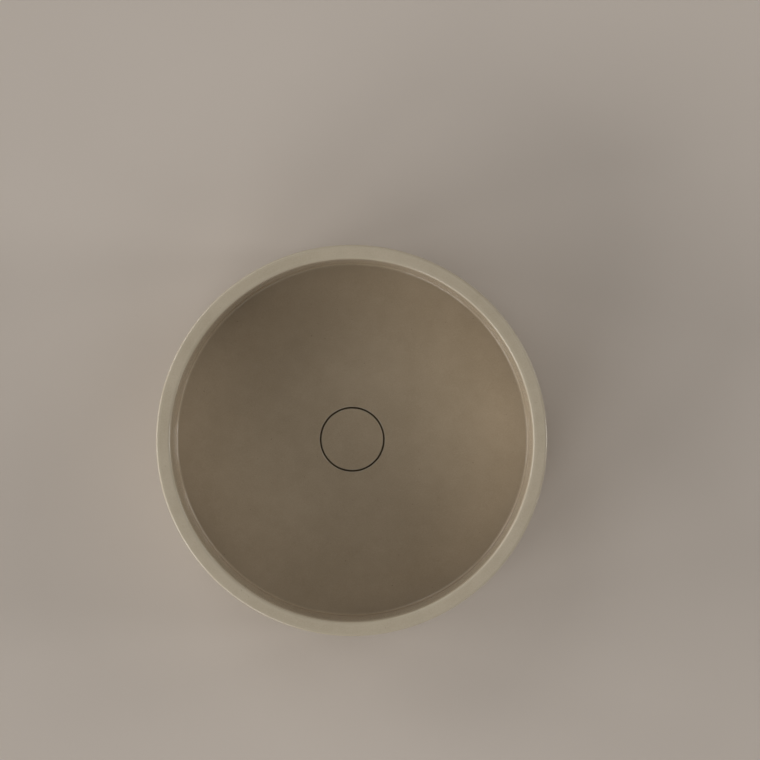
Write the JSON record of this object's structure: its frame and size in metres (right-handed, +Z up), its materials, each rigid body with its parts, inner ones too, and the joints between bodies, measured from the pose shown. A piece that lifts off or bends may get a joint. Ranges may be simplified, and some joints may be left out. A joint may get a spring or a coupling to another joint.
{
  "type": "vessel basin",
  "caption": "Round concrete vessel basin with a flat rim, steep inner wall and a flush press-to-open drain cover over a clamped waste and outlet tube.",
  "frame": {"origin": "on the basin's axis, in the plane of the foot ring that stands on the counter", "axes": "+Z up along the basin's axis; +X and +Y lie in the counter plane, to the right and to the top of the picture"},
  "size_m": [0.4, 0.3998, 0.2152],
  "materials": {
    "cast_concrete": "matte",
    "brushed_nickel": "satin",
    "turned_brass": "satin",
    "black_rubber": "matte",
    "white_acetal": "satin",
    "spring_steel": "satin"
  },
  "bodies": {
    "basin": {"bowl": "cast_concrete", "guide_bush": "white_acetal", "stem_o_ring": "black_rubber", "cartridge_barrel": "turned_brass", "return_spring": "spring_steel", "barrel_end_plug": "turned_brass", "cartridge_lock_nut": "turned_brass", "waste_body": "brushed_nickel", "flange_gasket": "black_rubber", "tapered_gasket": "black_rubber", "slip_washer": "white_acetal", "back_nut": "turned_brass", "tailpiece": "brushed_nickel", "tailpiece_o_ring": "black_rubber"},
    "plunger": {"plunger": "brushed_nickel"},
    "cover": {"drain_cover": "cast_concrete", "cover_carrier": "brushed_nickel", "plug_seal": "black_rubber", "snap_ring": "spring_steel"},
    "rotor": {"index_rotor": "white_acetal"}
  },
  "joints": [
    {"name": "cover_press", "type": "slide", "parent": "basin", "child": "plunger", "axis": [0, 0, 1], "range_m": [-0.001, 0.01], "deforming": ["return_spring", "plug_seal"]},
    {"name": "cover_turn", "type": "hinge", "parent": "plunger", "child": "cover", "pos_m": [0, 0, 0.024], "axis": [0, 0, 1], "continuous": true},
    {"name": "rotor_turn", "type": "hinge", "parent": "plunger", "child": "rotor", "pos_m": [0, 0, -0.007], "axis": [0, 0, 1], "range_deg": [-6, 42]}
  ],
  "couplings": [
    {"joint": "rotor_turn", "follows": "cover_press", "rad_per_m": 71.4}
  ]
}
